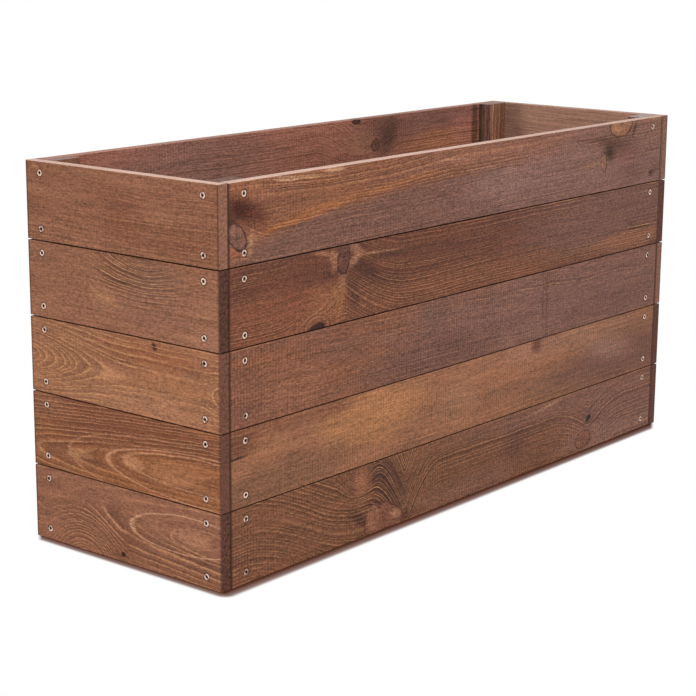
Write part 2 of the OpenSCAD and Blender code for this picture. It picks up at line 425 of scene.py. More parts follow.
    # Bows: single wide rings of pale early wood that the plane has cut at a shallow angle
    for *spot, wide, shade, amount in look["bows"]:
        off = add(tree, "Math SUBTRACT", {0: oval(tree, grain, *spot), 1: 1.0})
        off = add(tree, "Math ABSOLUTE", {0: off})
        colour = lay(tree, colour, shade, off, 0.0, wide, amount, 0.0, "SMOOTHSTEP")

    # Knots: a branch cut across, streaked, with a broken dark rim of bark and a dark heart
    for u, v, half_u, half_v, tilt, wood, rim, amount in look["knots"]:
        spot = add(tree, "Mapping",
                   {"Vector": grain, "Location": (u, 0, v), "Rotation": (0, -math.radians(tilt), 0),
                    "Scale": (half_u, 1e5, half_v)}, vector_type="TEXTURE")
        bent = add(tree, "TexNoise", {"Vector": spot, "Scale": 1.2, "Detail": 2.0})
        spot = add(tree, "VectorMath MULTIPLY_ADD", {0: bent.outputs["Color"], 1: (0.6, 0, 0.6),
                                                     2: spot})
        spot = add(tree, "VectorMath SUBTRACT", {0: spot, 1: (0.3, 0, 0.3)})
        off = add(tree, "VectorMath LENGTH", {0: spot})
        streak = add(tree, "Mapping", {"Vector": spot, "Scale": (0.8, 1, 4.5)})
        streak = add(tree, "TexNoise", {"Vector": streak, "Scale": 1.0, "Detail": 2.0})
        streak = add(tree, "MapRange", {"Value": streak, "From Min": 0.3, "From Max": 0.7,
                                        "To Min": 0.7, "To Max": 1.3})
        branch = add(tree, "VectorMath SCALE", {0: linear(wood)[:3], "Scale": streak})
        colour = lay(tree, colour, branch, off, 0.9, 1.04, amount, 0.0, "SMOOTHSTEP")
        bark = add(tree, "Math SUBTRACT", {0: off, 1: 0.95})
        bark = add(tree, "Math ABSOLUTE", {0: bark})
        bark = add(tree, "MapRange", {"Value": bark, "From Max": bark_width / half_v + 0.03,
                                      "To Min": amount, "To Max": 0.0})
        bite = add(tree, "MapRange", {"Value": bent, "From Min": 0.36, "From Max": 0.6,
                                      "To Min": 0.4})
        bark = add(tree, "Math MULTIPLY", {0: bark, 1: bite})
        colour = add(tree, "Mix", {0: bark, 6: colour, 7: rim}, data_type="RGBA")
        colour = lay(tree, colour, rim, off, 0.0, 0.25, 0.5 * amount, 0.0, "SMOOTHSTEP")

    # Fibres and short pores along the grain, the planer's ribs across it, and the fine grit of
    # raised fibres that holds the stain unevenly
    fibre = mottle(tree, grain, (0, 0, 0), 70, 100 / 22, 4.0, 0.75)
    fleck = mottle(tree, board, (seed, 0, 0), 11, 20 / 11, 2.0)
    colour = lay(tree, colour, dark_line, fleck, 0.5, 0.72, 0.0, look["flecks"])
    across = add(tree, "SeparateXYZ", {0: board})
    ribs = add(tree, "Math MULTIPLY", {0: across, 1: 2 * math.pi / rib_pitch})
    ribs = add(tree, "Math SINE", {0: ribs})
    worked = mottle(tree, board, (seed, seed, 5 * seed), 90, 35, 2.0)
    worked = add(tree, "MapRange", {"Value": worked, "From Min": 0.38, "From Max": 0.62,
                                    "To Max": look["ribs"]})
    ribs = add(tree, "Math MULTIPLY", {0: ribs, 1: worked})
    grit = mottle(tree, board, (-seed, 0, seed), 5, 1.7, 1.0)
    grit = add(tree, "MapRange", {"Value": grit, "From Min": 0.3, "From Max": 0.7,
                                  "To Min": -look["grit"], "To Max": look["grit"]})
    ribs = add(tree, "Math ADD", {0: ribs, 1: grit})
    level = add(tree, "MapRange", {"Value": fibre, "From Min": 0.3, "From Max": 0.7,
                                   "To Min": 1 - fibre_show, "To Max": 1 + fibre_show})
    level = add(tree, "Math ADD", {0: level, 1: ribs})
    colour = add(tree, "VectorMath SCALE", {0: colour, "Scale": level})

    # Eased edges show paler, partly worn, partly a painted highlight; stain gathers in the joint at a
    # board's end
    inset = add(tree, "VectorMath SUBTRACT", {0: board, 1: middle})
    inset = add(tree, "VectorMath ABSOLUTE", {0: inset})
    inset = add(tree, "VectorMath SUBTRACT", {0: half, 1: inset})
    split = add(tree, "SeparateXYZ", {0: inset})
    wear_and_highlight = add(tree, "Math MAXIMUM", {0: split.outputs["Y"], 1: split.outputs["Z"]})
    wear_and_highlight = add(tree, "MapRange", {"Value": wear_and_highlight, "From Min": 0.3, "From Max": 1.2,
                                    "To Min": 0.3, "To Max": 0.0})
    wear_and_highlight = add(tree, "Math MULTIPLY", {0: wear_and_highlight, 1: patch})
    colour = add(tree, "Mix", {0: wear_and_highlight, 6: colour, 7: wear_and_highlight_edge}, data_type="RGBA")
    joint = add(tree, "MapRange", {"Value": split.outputs["X"], "From Min": 1.6, "From Max": 3.4,
                                   "To Min": look["joint"], "To Max": 0.0})
    # The wood is darker in a ring round each screw hole
    if "hole" in look:
        hole = add(tree, "VectorMath SUBTRACT", {0: inset, 1: (look["hole"], 0, screw_inset * 1000)})
        hole = add(tree, "VectorMath MULTIPLY", {0: hole, 1: (1, 0, 1)})
        hole = add(tree, "VectorMath LENGTH", {0: hole})
        hole = add(tree, "MapRange", {"Value": hole, "From Min": 4.4, "From Max": 5.8,
                                      "To Min": 0.85, "To Max": 0.0})
        joint = add(tree, "Math MAXIMUM", {0: joint, 1: hole})
    colour = add(tree, "Mix", {0: joint, 6: colour, 7: dark_line}, data_type="RGBA")

    # A painted highlight can lighten the upper faces, and the ends, cut across the fibres, go dark
    facing = add(tree, "Mapping", {"Vector": where.outputs["Normal"], "Rotation": turn},
                 vector_type="VECTOR")
    facing = add(tree, "SeparateXYZ", {0: facing})
    top_highlight = add(tree, "MapRange", {"Value": facing.outputs["Z"], "From Min": 0.3, "From Max": 0.8,
                                 "To Max": look["rim"]})
    highlight_breakup = add(tree, "MapRange", {"Value": feather, "From Min": -0.12, "From Max": 0.12,
                                  "To Min": 0.72})
    top_highlight = add(tree, "Math MULTIPLY", {0: top_highlight, 1: highlight_breakup})
    colour = add(tree, "Mix", {0: top_highlight, 6: colour, 7: painted_top_highlight}, data_type="RGBA")
    pores = add(tree, "TexNoise", {"Vector": board, "Scale": 0.3, "Detail": 4.0})
    cut = lay(tree, look["end"], look["end_pale"], pores, 0.35, 0.65)
    cut = add(tree, "Mix", {0: dark, 6: cut, 7: dark_line}, data_type="RGBA")
    cut = lay(tree, cut, dark_line, split.outputs["Y"], 0.6, 3.0, look["bound"], 0.0)
    facing = add(tree, "Math ABSOLUTE", {0: facing.outputs["X"]})
    colour = lay(tree, colour, cut, facing, 0.6, 0.85)
    tree.links.new(colour.outputs["Result"], surface.inputs["Base Color"])

    rough = add(tree, "MapRange", {"Value": fibre, "From Min": 0.3, "From Max": 0.7,
                                   "To Min": 0.52, "To Max": 0.7})
    tree.links.new(rough.outputs["Result"], surface.inputs["Roughness"])
    raised = add(tree, "Math MULTIPLY_ADD", {0: fibre, 1: 0.6, 2: lines})
    raised = add(tree, "Math MULTIPLY_ADD", {0: ribs, 1: 2.0, 2: raised})
    bump = add(tree, "Bump", {"Height": raised, "Strength": 0.45, "Distance": 0.00025})
    tree.links.new(bump.outputs["Normal"], surface.inputs["Normal"])
    piece.data.materials.append(material)


# A look says how a board differs from the usual one. warm and cool are its two browns, heart the
# depth and height of the tree's heart and how it climbs and sinks along the board, pitch a ring's
# width, and wander how far the grain strays. dark and pale are how strongly late and early wood
# show, line the late wood's colour, least the faintest year, and faint and plain the faintest and
# the clearest patch. flecks, ribs and grit are the strength of pores, planer's ribs and raised
# fibres, rim that of the painted highlight on the upper faces, joint and bound that of the dark
# lines at an end, hole how far in the screws are, end and end_pale the end grain, and skin how deep
# the shades go. The lists hold ovals on the face: u and v of the middle, half length, half width
# and tilt in degrees. A swell or peak then has the rings' lift, a show its softness and the rings'
# clearness, a shade its softness, colour and share, a bow its width, colour and share, and a knot
# its wood, its rim and their share. A step lifts the rings from one u to another.
usual_look = {"wander": 5, "flecks": 0.3, "ribs": 0.08, "grit": 0.3, "least": 0.4, "faint": 0.25,
              "plain": 0.8, "rim": 0.0, "joint": 0.0, "bound": 0.0, "line": dark_line, "skin": 1e5,
              "end": "#54372b", "end_pale": "#7a5443", "swells": (), "peaks": (), "steps": (),
              "shows": (), "shades": (), "bows": (), "knots": ()}

front_looks = {}
front_looks[5] = {
    "warm": "#88583f", "cool": "#7c4f3f", "heart": (30, 190, 0.02, 0.0), "pitch": 4.6, "dark": 0.85,
    "pale": 0.6, "wander": 5, "flecks": 0.3, "ribs": 0.13, "least": 0.3, "faint": 0.2, "plain": 0.65,
    "grit": 0.36, "rim": 0.95, "end": "#6b4a3c", "swells": [(250, 104, 230, 60, 0, -16)],
    "peaks": [(33, 34, 60, 50, 0, 26)],
    "shades": [
        (620, 2, 600, 62, 0.4, 0.08, "#725046", 0.92), (760, 8, 280, 52, 0, 0.5, "#7a5a54", 0.7),
        (650, 44, 150, 26, 0, 0.7, "#8e6a60", 0.7), (580, 84, 190, 18, 0, 0.7, "#916555", 0.6),
        (860, 45, 190, 75, 0, 0.35, "#825f56", 0.8), (140, 40, 90, 4, 7.5, 0.4, "#a0643f", 0.8),
        (230, 54, 140, 4.5, 6, 0.5, "#996140", 0.65), (350, 66, 90, 4, 4, 0.6, "#966042", 0.5),
        (58, 20, 14, 4, 50, 0.5, "#966f55", 0.5), (130, 93, 75, 3, -4, 0.6, "#a37556", 0.6),
        (30, 12, 16, 5, -20, 0.6, "#8d5440", 0.6), (100, 60, 50, 12, 4, 0.9, "#6e4a38", 0.6),
        (40, 61, 28, 14, -22, 0.9, "#3b1a13", 1.0), (66, 54, 22, 9, -14, 0.95, "#5c3228", 0.8),
        (62, 90, 12, 4, 0, 0.5, "#a06e4f", 0.7), (122, 92.5, 26, 3.2, -4, 0.3, "#ba8c6d", 0.95),
        (158, 90, 18, 2.4, -3, 0.4, "#b2845f", 0.85), (206, 94, 20, 2.8, -4, 0.3, "#b98b6e", 0.95),
        (446, 82, 40, 1.2, -3, 0.5, "#a87a64", 0.7), (54, 24, 4, 13, -12, 0.5, "#a27a5c", 0.7),
        (16, 49, 15, 11, -8, 0.8, "#3d2018", 0.9), (880, 46, 30, 12, 0, 0.9, "#875349", 0.5),
        (900, 22, 34, 14, 0, 0.9, "#6c4c46", 0.6), (856, 64, 44, 13, -6, 0.9, "#5d3f36", 0.9),
        (836, 54, 12, 9, -20, 0.9, "#30221a", 0.95), (815, 73, 26, 4, -8, 0.9, "#4a332c", 0.7),
        (780, 76, 40, 2.5, -4, 0.8, "#5b3f38", 0.6), (795, 42, 26, 5, 4, 0.9, "#8f6850", 0.6),
        (966, 17, 14, 5, 24, 0.9, "#5a3d38", 0.75), (904, 84, 4, 12, -30, 0.6, "#432a24", 0.8)],
    "shows": [
        (260, 84, 280, 18, -2, 0.4, 1.1), (60, 40, 60, 50, 0, 0.5, 0.5), (34, 65, 42, 20, 0, 0.5, 0.1),
        (240, 50, 160, 5, 6, 0.4, 1.0), (600, 84, 160, 12, 0, 0.6, 0.8)],
    "knots": [
        (31, 31, 21, 12.5, -48, "#7a5447", "#1c0f0b", 0.98),
        (866, 95, 32, 20, 0, "#93664d", "#44241a", 0.98),
        (820, 43, 8, 14, 12, "#8a6250", "#1e0f0a", 0.98)]}
front_looks[4] = {
    "warm": "#683f30", "cool": "#613c30", "heart": (30, -90, 0.0, 0.0), "pitch": 3.5, "dark": 0.75,
    "pale": 0.65, "wander": 4, "flecks": 0.3, "ribs": 0.1, "least": 0.4, "faint": 0.25, "plain": 0.85,
    "grit": 0.38, "end": "#4a3025", "end_pale": "#6b4a3b", "swells": [(226, 40, 150, 130, 0, -10)],
    "peaks": [(222, 44, 130, 260, 0, -42), (170, -4, 50, 34, 0, -24)],
    "shades": [
        (100, 24, 130, 30, 0, 0.4, "#7e4d38", 0.85), (560, 14, 330, 22, 0, 0.6, "#7c4e3a", 0.75),
        (860, 60, 230, 50, 0, 0.5, "#75534a", 0.85), (905, 17, 90, 14, 2, 0.5, "#8f5e49", 0.85),
        (268, 60, 34, 10, -28, 0.7, "#452b24", 0.7), (244, 34, 10, 26, 8, 0.7, "#4a2f26", 0.6),
        (196, 62, 14, 9, 0, 0.7, "#4d3026", 0.7), (221, 50, 7, 16, 6, 0.7, "#8d5f49", 0.7),
        (214, 26, 12, 20, 4, 0.7, "#93623f", 0.65), (185, 30, 26, 22, 0, 0.7, "#8c5b3f", 0.6),
        (190, 89, 22, 3, -8, 0.5, "#93644a", 0.85), (205, 83, 9, 8, -30, 0.4, "#96674f", 0.9),
        (206, 70, 7, 5, 30, 0.5, "#8d5f48", 0.7), (247, 88, 16, 6, -28, 0.4, "#8b614f", 0.9),
        (246, 76, 15, 6, 30, 0.4, "#94654f", 0.88), (290, 78.5, 40, 1.8, -3, 0.5, "#986a52", 0.85),
        (340, 73, 70, 3, -1, 0.7, "#4a2f26", 0.7), (908, 38, 20, 4, -16, 0.8, "#4c342e", 0.55)],
    "shows": [
        (140, 58, 70, 34, 0, 0.5, 0.08), (300, 32, 80, 46, 0, 0.5, 0.9), (420, 24, 150, 30, 0, 0.5, 0.9),
        (172, 4, 44, 17, 0, 0.5, 0.9), (268, 62, 26, 8, -20, 0.6, 0.1), (930, 30, 30, 12, 0, 0.3, 1.8)],
    "knots": [
        (224, 80, 12, 20, -8, "#5f3e34", "#160b08", 0.98),
        (173, 0, 14, 4.5, 8, "#3c251d", "#180d0a", 0.98)],
    "bows": [
        (173, 0, 21, 12, 0, 0.11, "#a0705a", 0.55), (173, 0, 29, 18, 0, 0.08, "#97664f", 0.4),
        (173, 0, 25, 15, 0, 0.06, "#4a2c22", 0.4)]}
front_looks[3] = {
    "warm": "#83543d", "cool": "#785041", "heart": (60, 210, -0.03, 0.0), "pitch": 3.6, "dark": 0.5,
    "pale": 0.45, "wander": 9, "flecks": 0.4, "ribs": 0.18, "least": 0.2, "grit": 0.36, "end": "#5d3f33",
    "shades": [
        (760, 45, 420, 70, 0, 0.5, "#7b5950", 0.85), (60, 16, 80, 20, 0, 0.7, "#7a5142", 0.7),
        (420, 18, 130, 24, 0, 0.6, "#684840", 0.85), (410, 72, 24, 20, 0, 0.8, "#6c5046", 0.75),
        (130, 28, 60, 26, 0, 0.6, "#8a5c46", 0.75), (671, 48, 1.6, 50, 1, 0.7, "#503630", 0.5),
        (680, 48, 2.4, 50, 1, 0.7, "#503630", 0.5), (850, 20, 120, 18, 0, 0.7, "#6f4d45", 0.6)],
    "shows": [
        (720, 74, 150, 17, 0, 0.5, 1.2), (540, 72, 60, 20, 0, 0.5, 1.0), (300, 66, 150, 24, 0, 0.6, 0.9)]}
front_looks[2] = {
    "warm": "#97664a", "cool": "#875d46", "heart": (50, -150, 0.0, 0.0), "pitch": 4.6, "dark": 0.45,
    "pale": 0.42, "wander": 8, "flecks": 0.34, "ribs": 0.16, "least": 0.2, "end": "#5a3a30",
    "shades": [
        (285, 62, 95, 34, 0, 0.5, "#a9744e", 0.85), (110, 18, 120, 24, 3, 0.5, "#775340", 0.8),
        (900, 28, 220, 34, 0, 0.6, "#6f4c42", 0.85), (560, 68, 150, 22, 0, 0.7, "#9c694c", 0.7),
        (850, 50, 60, 18, -6, 0.8, "#936c5e", 0.8), (60, 88, 90, 14, 0, 0.6, "#7b4f39", 0.7),
        (720, 84, 170, 17, 0, 0.7, "#9b6f5a", 0.7), (470, 45, 40, 28, 0, 0.8, "#976c52", 0.7),
        (26, 78, 34, 16, 0, 0.7, "#663f30", 0.8), (26, 59, 16, 1.6, 3, 0.8, "#2a1712", 0.95),
        (200, 86, 40, 10, 0, 0.8, "#7b4f3a", 0.8), (657, 88, 12, 8, 0, 0.7, "#623a2d", 0.85)]}
front_looks[1] = {
    "warm": "#7a4f3a", "cool": "#704936", "heart": (26, -60, 0.0, 0.0), "pitch": 5.4, "dark": 0.8,
    "pale": 0.7, "wander": 5, "flecks": 0.3, "ribs": 0.2, "least": 0.25, "line": "#28160f", "faint": 0.3,
    "plain": 0.8, "grit": 0.38, "end": "#4e2f27", "steps": [(40, 262, 65)],
    "swells": [(258, 84, 50, 46, 0, 30)],
    "peaks": [(352, 40, 80, 1e5, 0, 80), (803, 44, 110, 200, 0, 34)],
    "shows": [
        (205, 62, 66, 40, 0, 0.5, 0.9), (540, 60, 180, 20, 0, 0.5, 0.8), (560, 14, 200, 26, 0, 0.4, 0.12),
        (890, 55, 100, 26, 0, 0.5, 0.8), (335, 62, 66, 60, 0, 0.4, 1.5), (262, 84, 15, 26, 0, 0.5, 0.05)],
    "shades": [
        (318, 66, 42, 26, -36, 0.5, "#4b3028", 0.8), (262, 76, 14, 26, 0, 0.6, "#8d5e45", 0.85),
        (262, 22, 30, 7, -34, 0.7, "#442a22", 0.8), (308, 34, 34, 5, -14, 0.6, "#402720", 0.8),
        (790, 20, 60, 16, 0, 0.6, "#875c46", 0.7), (806, 46, 13, 7, -16, 0.9, "#3a241e", 0.95),
        (824, 40, 16, 5, -20, 0.9, "#5a3b34", 0.8), (832, 24, 12, 10, 0, 0.8, "#94604c", 0.6),
        (780, 66, 40, 16, 0, 0.9, "#7d5540", 0.6), (796, 70, 3, 22, 12, 0.7, "#5c3f38", 0.7),
        (812, 68, 3, 20, -18, 0.7, "#5c3f38", 0.7), (900, 40, 150, 50, 0, 0.6, "#815c52", 0.7),
        (500, 12, 120, 16, 0, 0.7, "#7f594a", 0.6), (880, 10, 130, 18, 0, 0.7, "#886459", 0.7),
        (740, 84, 240, 16, 0, 0.8, "#825c50", 0.6), (612, 50, 30, 20, 0, 0.8, "#5b3b35", 0.7),
        (690, 88, 34, 2, 5, 0.7, "#a67c63", 0.7)],
    "knots": [
        (309, 9, 42, 26, -12, "#7a4e3d", "#4a2a20", 0.9), (286, 20, 13, 17, 0, "#8b5d49", "#8b5d49", 0.7),
        (334, 14, 13, 6, -24, "#9c7056", "#7f5542", 0.75),
        (803, 46, 6, 3.6, 24, "#38211a", "#1c0f0a", 0.95),
        (790, 16, 22, 14, 4, "#7c5240", "#432a20", 0.85), (355, 8, 6, 8, 0, "#543429", "#331e17", 0.5)]}

for row, look in front_looks.items():
    node = "front_board_%d" % row
    low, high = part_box(node)
    piece = planed_timber(node, 0, board_ease, 60)
    places = [Vector((x, low.y, z)) for x in long_screw_x
              for z in (low.z + screw_inset, high.z - screw_inset)]
    cut_seats(piece, places, Vector((0, -1, 0)), seat_through)
    stained_pine(piece, node, dict(look, joint=0.9, hole=long_hole_in), (0, 0, 0),
                 (500, 163, -low.z * 1000 - grain_lift), 2.7 * row)
    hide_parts(node)
    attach(piece, "root")

# Left end: five shorter boards of the same pine that run the full width and cover the ends of
# the long ones. Their screws go into the posts too, so their holes show at both sides. u runs
# back from the near corner and v up from the lower edge.
end_screw_y = (-0.138, 0.138)
end_hole_in = 25
left_looks = {}
left_looks[5] = {
    "warm": "#93644c", "cool": "#895b45", "heart": (-60, -130, 0.0, 0.0), "pitch": 5.0, "dark": 0.42,
    "pale": 0.45, "wander": 6, "flecks": 0.34, "ribs": 0.06, "rim": 0.9, "end": "#6f4a39",
    "end_pale": "#946856", "swells": [(310, 66, 70, 46, 0, 34)],
    "shades": [(160, 40, 40, 26, 0, 0.8, "#7f503b", 0.7), (60, 20, 70, 18, 0, 0.8, "#82533d", 0.7)]}
left_looks[4] = {
    "warm": "#95664e", "cool": "#8c5f48", "heart": (-60, -150, 0.0, 0.0), "pitch": 6.6, "dark": 0.5,
    "pale": 0.7, "wander": 3, "flecks": 0.3, "ribs": 0.05, "least": 0.6, "faint": 0.1, "plain": 0.3,
    "end": "#311c16", "end_pale": "#5f3f32", "swells": [(118, 110, 120, 80, -4, 64)],
    "shows": [(138, 76, 60, 32, 14, 0.5, 1.5), (160, 80, 34, 24, -30, 0.4, 2.0)],
    "shades": [
        (108, 68, 44, 22, 0, 0.6, "#845f4f", 0.7), (190, 38, 30, 7, 12, 0.6, "#a67653", 0.5),
        (100, 30, 60, 20, 0, 0.8, "#8a5f4e", 0.6), (22, 12, 26, 16, 0, 0.8, "#a06f57", 0.6)]}
left_looks[3] = {
    "warm": "#a16d4f", "cool": "#96664c", "heart": (-22, 44, 0.0, 0.02), "pitch": 6.0, "dark": 0.2,
    "pale": 1.0, "wander": 2.5, "flecks": 0.3, "ribs": 0.05, "least": 0.7, "faint": 0.3, "plain": 0.8,
    "end": "#553529", "end_pale": "#7a5343", "swells": [(-16, 42, 50, 42, 0, -16)],
    "peaks": [(340, 48, 200, 90, 0, -56)],
    "shows": [(235, 46, 110, 44, 0, 0.4, 1.5), (4, 44, 24, 30, 0, 0.4, 1.6)],
    "shades": [
        (186, 41, 24, 9, 0, 0.5, "#b68261", 0.75), (158, 41, 14, 4, 0, 0.6, "#b17c5b", 0.7),
        (90, 42, 60, 14, 0, 0.7, "#ab7552", 0.6), (150, 14, 130, 16, 0, 0.8, "#ab785b", 0.6),
        (110, 74, 80, 14, 0, 0.7, "#935a3e", 0.7), (107, 88, 6, 3.4, 60, 0.6, "#3a1f16", 0.95)]}
left_looks[2] = {
    "warm": "#955f3d", "cool": "#88563c", "heart": (-4, 38, -0.05, -0.085), "pitch": 4.4, "dark": 0.6,
    "pale": 1.0, "wander": 3, "flecks": 0.2, "ribs": 0.05, "least": 0.6, "faint": 0.7, "plain": 1.0,
    "end": "#57362c", "end_pale": "#734b3d", "shows": [(90, 28, 150, 26, 0, 0.3, 0.3)],
    "bows": [
        (20, 31, 172, 31, 0, 0.04, "#bb8769", 0.8), (20, 37, 140, 21, 0, 0.07, "#b5805f", 0.8),
        (30, 36, 80, 13, 0, 0.1, "#a8734f", 0.7), (60, 30, 202, 42, 0, 0.022, "#ab7a5e", 0.7),
        (10, 30, 205, 37, 0, 0.014, "#6b3f2c", 0.6), (20, 34, 158, 26, 0, 0.03, "#70442f", 0.6)],
    "shades": [
        (200, 84, 200, 20, 4, 0.5, "#7c4b36", 0.75), (300, 84, 40, 16, 0, 0.8, "#93634a", 0.7),
        (290, 20, 50, 20, 0, 0.8, "#95644a", 0.5), (75, 32, 44, 13, 0, 0.6, "#a87250", 0.7),
        (240, 28, 22, 6, 0, 0.4, "#b27c59", 0.85), (146, 33, 17, 8, 0, 0.3, "#b5805c", 0.8)]}
left_looks[1] = {
    "warm": "#93644c", "cool": "#8b5d47", "heart": (-13, 59, 0.0, -0.12), "pitch": 6.8, "dark": 0.36,
    "pale": 0.9, "wander": 3, "flecks": 0.2, "ribs": 0.05, "faint": 0.4, "plain": 0.6, "least": 0.5,
    "end": "#381f18", "end_pale": "#6b4437", "swells": [(236, -10, 86, 90, -6, 64)],
    "shows": [
        (216, 30, 54, 36, -24, 0.4, 1.6), (230, 76, 90, 16, 0, 0.5, 0.15), (64, 24, 78, 20, 0, 0.4, 1.6),
        (90, 66, 60, 14, 0, 0.4, 0.2)],
    "bows": [
        (60, 57, 93, 24, -3, 0.06, "#c29274", 0.85), (60, 57, 84, 20, -3, 0.04, "#7a4e3a", 0.5),
        (40, 57, 44, 12, -6, 0.1, "#b07c5d", 0.6)],
    "shades": [
        (160, 22, 30, 20, -30, 0.8, "#7a4d39", 0.8), (60, 8, 90, 14, 0, 0.8, "#86573f", 0.4),
        (48, 57, 26, 11, 0, 0.4, "#a9765a", 0.85), (146, 52, 3, 12, 8, 0.6, "#b07d5c", 0.7),
        (40, 86, 60, 10, 0, 0.8, "#94644e", 0.6)],
    "knots": [(167, 9, 3.4, 2.6, 0, "#331b14", "#24120d", 0.97)]}

for row, look in left_looks.items():
    node = "left_end_board_%d" % row
    low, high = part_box(node)
    piece = planed_timber(node, 1, board_ease, 20)
    places = [Vector((low.x, y, z)) for y in end_screw_y
              for z in (low.z + screw_inset, high.z - screw_inset)]
    cut_seats(piece, places, Vector((-1, 0, 0)), seat_through)
    stained_pine(piece, node, dict(look, joint=0.6, hole=end_hole_in), (0, 0, -math.pi / 2),
                 (163, -500, -low.z * 1000 - grain_lift), 31 + 3.1 * row)
    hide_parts(node)
    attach(piece, "root")

# Back wall and right end: the same boards turned half round, seen from inside over the rim and
# whole from behind. The top board of each has the knots and shades that show there, lighter
# browns that paint the light on its inside face and a painted shade by the back right post, and
# the ends of the right end's boards show beside the front wall.
plain_looks = [
    {"warm": "#8a5c44", "cool": "#7a5243", "heart": (40, -70, 0.02, 0.0), "pitch": 3.2, "dark": 0.4,
     "pale": 0.3, "knots": [(300, 40, 9, 7, 10, "#5d4236", "#2e1c16", 0.95)],
     "shades": [(300, 40, 40, 26, 0, 0.8, "#5b3e32", 0.6)],
     "swells": [(300, 40, 90, 46, 0, 34), (760, 50, 130, 50, 0, -18)]},
    {"warm": "#946549", "cool": "#83593f", "heart": (24, 46, 0.0, 0.03), "pitch": 4.2, "dark": 0.44,
     "pale": 0.42, "swells": [(620, 20, 120, 50, 0, 22)],
     "shades": [(500, 80, 300, 20, 0, 0.6, "#7b5243", 0.7)]},
    {"warm": "#7f5542", "cool": "#72503f", "heart": (50, 180, -0.03, 0.0), "pitch": 2.8, "dark": 0.34,
     "pale": 0.26, "swells": [(170, 70, 80, 44, 0, 36)],
     "knots": [(170, 74, 11, 13, -12, "#6a4a3c", "#2e1c16", 0.95)],
     "shades": [(170, 60, 50, 26, 0, 0.8, "#563a30", 0.6), (640, 30, 160, 20, 0, 0.7, "#8f6146", 0.7)]},
    {"warm": "#8d5f46", "cool": "#845a46", "heart": (-30, 36, 0.0, -0.05), "pitch": 3.6, "dark": 0.42,
     "pale": 0.4, "swells": [(120, 20, 90, 50, 0, -26)],
     "knots": [(120, 22, 6, 5, 0, "#5d4236", "#2e1c16", 0.95)]}]
# Its browns are lighter than the other boards', a painted light for its lit inside face, and the dark
# stripe by the back right post is a painted shade
back_top_look = {
    "warm": "#a86f5c", "cool": "#996353", "heart": (40, -60, 0.0, 0.0), "pitch": 3.4, "dark": 0.62,
    "pale": 0.4, "wander": 5, "flecks": 0.25, "ribs": 0.12, "rim": 0.2, "skin": 12,
    "swells": [(640, 55, 110, 60, 0, 30)],
    "shows": [(840, 44, 140, 26, 0, 0.5, 1.4), (440, 60, 200, 40, 0, 0.5, 1.1)],
    "shades": [
        (280, 60, 140, 50, 0, 0.7, "#8f695e", 0.7), (790, 75, 130, 26, 0, 0.7, "#8a6054", 0.7),
        (640, 60, 34, 18, 0, 0.7, "#a2725a", 0.75), (700, 76, 50, 20, 0, 0.8, "#704a40", 0.5),
        (706, 68, 30, 18, 60, 0.7, "#533a33", 0.75), (850, 44, 95, 20, 0, 0.6, "#bd7d5c", 0.85),
        (898, 66, 34, 30, 0, 0.7, "#b9786a", 0.7), (850, 88, 160, 12, 0, 0.6, "#835a50", 0.6),
        (929, 50, 8, 70, 0, 0.4, "#5a382e", 0.8)],
    "knots": [
        (674, 54, 10, 9, 0, "#684639", "#3b251e", 0.9), (628, 94, 9, 4, 0, "#4a3028", "#2a1712", 0.9)]}
# Its pale browns are a painted light for its lit inside face, and the dark patch by the back right post
# is a painted shadow
right_top_look = {
    "warm": "#bf917c", "cool": "#b48876", "heart": (60, 150, 0.03, 0.0), "pitch": 4.0, "dark": 0.62,
    "pale": 0.3, "wander": 4, "flecks": 0.08, "ribs": 0.02, "rim": 0.2, "grit": 0.14, "least": 0.5,
    "faint": 0.5,
    "shades": [(160, 70, 140, 30, 0, 0.7, "#a9806a", 0.6), (284, 40, 30, 80, 0, 0.5, "#7f6050", 0.8)]}
right_ends = {1: ("#4b2b22", "#6b4438"), 2: ("#4b2a22", "#694135"), 3: ("#764e43", "#916856"),
              4: ("#4a281f", "#653d33"), 5: ("#6b4a3d", "#96705f")}

for row in range(1, 6):
    node = "back_board_%d" % row
    low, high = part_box(node)
    piece = planed_timber(node, 0, board_ease, 60)
    places = [Vector((x, high.y, z)) for x in long_screw_x
              for z in (low.z + screw_inset, high.z - screw_inset)]
    cut_seats(piece, places, Vector((0, 1, 0)), seat_through)
    look = back_top_look if row == 5 else plain_looks[row - 1]
    stained_pine(piece, node, dict(look, joint=0.9, hole=long_hole_in), (0, 0, 0),
                 (500, -148, -low.z * 1000 - grain_lift), 57 + 2.3 * row)
    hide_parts(node)
    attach(piece, "root")

    node = "right_end_board_%d" % row
    low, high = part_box(node)
    piece = planed_timber(node, 1, board_ease, 20)
    places = [Vector((high.x, y, z)) for y in end_screw_y
              for z in (low.z + screw_inset, high.z - screw_inset)]
    cut_seats(piece, places, Vector((1, 0, 0)), seat_through)
    look = right_top_look if row == 5 else plain_looks[(row + 1) % 4]
    look = dict(look, hole=end_hole_in, bound=0.8, end=right_ends[row][0],
                end_pale=right_ends[row][1])
    stained_pine(piece, node, look, (0, 0, -math.pi / 2), (163, 485, -low.z * 1000 - grain_lift),
                 83 + 1.9 * row)
    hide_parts(node)
    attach(piece, "root")
